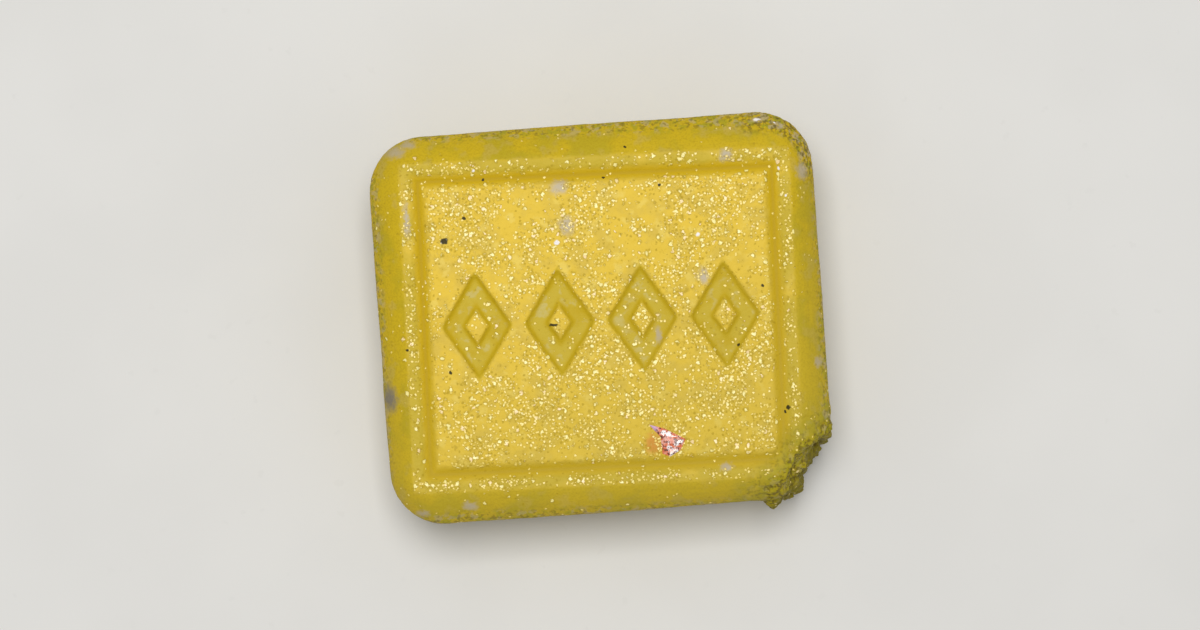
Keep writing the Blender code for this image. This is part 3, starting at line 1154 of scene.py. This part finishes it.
# Painted glints: the crystals' pale colour stands partly for the light that they catch.
colour = lay_over(tree, colour, SMALL_CRYSTAL_GLINT, times(tree, small_crystals["Mask"], 0.80))
crystal_glint_colour = lay_over(tree, CREAM, ROSE, soft_step(tree, large_crystals["Chance"], 0.60, 0.90))
colour = lay_over(tree, colour, crystal_glint_colour, times(tree, large_crystals["Mask"], 0.90))
for pixel, half_size in DARK_SPECKS:
    speck = mark(speck_point, pixel, half_size, 0.6)
    colour = lay_over(tree, colour, SPECK, times(tree, speck, 0.95))
for pixel, half_size in WHITE_GRAINS:
    colour = lay_over(tree, colour, WHITE, mark(speck_point, pixel, half_size, 0.4))
print(f"{len(DARK_SPECKS)} dark specks and {len(WHITE_GRAINS)} white grains")

# %% [markdown]
# The powder is matte, and its crystals are glossier, which is a thin coat where they are. The
# finest grain is too small for the mesh, so it is a bump: a few hundredths of a millimetre
# across and less than that high.

# %% Powder: gloss and grain
GRAIN_SIZE = 0.0625  # millimetres
GRAIN_HEIGHT = 0.012
CRYSTAL_COAT = 0.40

shader.inputs["Specular IOR Level"].default_value = 0.20
shader.inputs["Coat Roughness"].default_value = 0.30
crystals = calculate(tree, "MAXIMUM", small_crystals["Mask"], large_crystals["Mask"])
roughness = calculate(tree, "SUBTRACT", 0.62, times(tree, crystals, 0.30))
grain = add_node(
    tree, "ShaderNodeTexNoise", {"Vector": point, "Scale": 1 / GRAIN_SIZE, "Detail": 2.0}
)
height = calculate(tree, "ADD", grain.outputs["Fac"], times(tree, crystals, 0.6))
height = calculate(tree, "SUBTRACT", height, times(tree, press_marks, 1.5))
bump = add_node(
    tree, "ShaderNodeBump", {"Height": height, "Distance": GRAIN_HEIGHT * MM, "Strength": 1.0}
)
tree.links.new(colour, shader.inputs["Base Color"])
tree.links.new(roughness, shader.inputs["Roughness"])
tree.links.new(times(tree, crystals, CRYSTAL_COAT), shader.inputs["Coat Weight"])
tree.links.new(bump.outputs["Normal"], shader.inputs["Normal"])
tablet.data.materials.clear()
tablet.data.materials.append(powder)
print(f"{len(tree.nodes)} nodes in {powder.name}")

# %% [markdown]
# One red crystal is sunk in the face. It is a splinter with flat facets, clear pink and red, and
# it flashes white where a facet turns the lamp's light back. A blot of colour could not do that,
# so it is a piece of its own: its outline is drawn, extruded a little, drawn in at the top and
# poked, which leaves one low point on every face.

# %% The red splinter
SPLINTER_OUTLINE = (  # pixels in the photograph
    (649, 424),
    (664, 428),
    (685, 438),
    (680, 449),
    (670, 455),
    (662, 453),
    (660, 436),
)
SPLINTER_SUNK = 0.12
SPLINTER_BEVEL = 0.05
SPLINTER_PROUD = 0.03
SPLINTER_POINT = 0.025

outline = [from_photo(*pixel).to_3d() for pixel in SPLINTER_OUTLINE]
outline = [corner + Vector((0, 0, thickness - SPLINTER_SUNK)) for corner in outline]
splinter = draw_line("red_splinter", outline)
bpy.ops.mesh.select_all(action="SELECT")
bpy.ops.mesh.edge_face_add()
bpy.ops.mesh.extrude_region_move(TRANSFORM_OT_translate={"value": (0, 0, SPLINTER_SUNK)})
bpy.ops.mesh.inset(thickness=SPLINTER_BEVEL, depth=SPLINTER_PROUD)
bpy.ops.mesh.poke(offset=SPLINTER_POINT)
bpy.ops.mesh.subdivide(number_cuts=2)
face_outwards()
bpy.ops.object.mode_set(mode="OBJECT")
roughen(splinter, "facets", "VORONOI", 0.16, 0.05)
apply_modifiers(splinter)
splinter.scale = (MM, MM, MM)
apply_place(splinter)
splinter.location = (0, 0, 0)
print(f"red splinter of {len(splinter.data.polygons)} facets")

# %% [markdown]
# The crystal is pink and red with dark red cracks and a violet tip, and white specks on its facets are
# painted highlights beside the real ones. Clear glass would show only the yellow under it, so it is a
# glossy solid colour in patches, from the same node groups as the powder.

# %% The splinter's material
RED = (0.72, 0.17, 0.07, 1)
PINK = (0.80, 0.42, 0.34, 1)
RED_BROWN = (0.12, 0.035, 0.02, 1)
VIOLET = (0.60, 0.36, 0.55, 1)
TIP = (651, 426)  # pixel in the photograph
TIP_REACH = 0.20

crystal = bpy.data.materials.new("red_crystal")
crystal.use_nodes = True
tree = crystal.node_tree
shader = tree.nodes["Principled BSDF"]
shader.inputs["Roughness"].default_value = 0.26
shader.inputs["Coat Weight"].default_value = 0.3
point = point_in_mm(tree)
tip_centre = (*from_photo(*TIP), thickness)
tip = use_group(
    tree, mark_group, Point=point, Centre=tip_centre, Reach=(TIP_REACH,) * 3, Core=0.4
)["Mask"]
colour = lay_over(tree, RED, PINK, drift(0.10, 0.48, 0.62))
# Painted highlights: white specks on the facets.
colour = lay_over(tree, colour, WHITE, specks(0.14, 0.52, 0.55)["Mask"])
colour = lay_over(tree, colour, RED_BROWN, times(tree, drift(0.06, 0.52, 0.58), 0.90))
colour = lay_over(tree, colour, VIOLET, tip)
tree.links.new(colour, shader.inputs["Base Color"])
splinter.data.materials.append(crystal)
print(f"{len(tree.nodes)} nodes in {crystal.name}")

# %% [markdown]
# Nothing on a tablet moves, so both pieces ride on the one body. The tablet stands for the plain
# solid in the frame, and the splinter is an extra piece that is stuck in it.

# %% Ride on the frame
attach(tablet, "root")
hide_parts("tablet")
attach(splinter, "root")
print("on the root body:", tablet.name, splinter.name)

# %% [markdown]
# The boxes of the plain solid and of the finished pieces are printed side by side, to show that
# the looks leave the size as it was.

# %% Print both boxes and finish
visual_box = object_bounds()
boxes = {"cad": cad_box, "visual": visual_box}
for name, box in boxes.items():
    print(name, [[round(value / MM, 3) for value in corner] for corner in box])
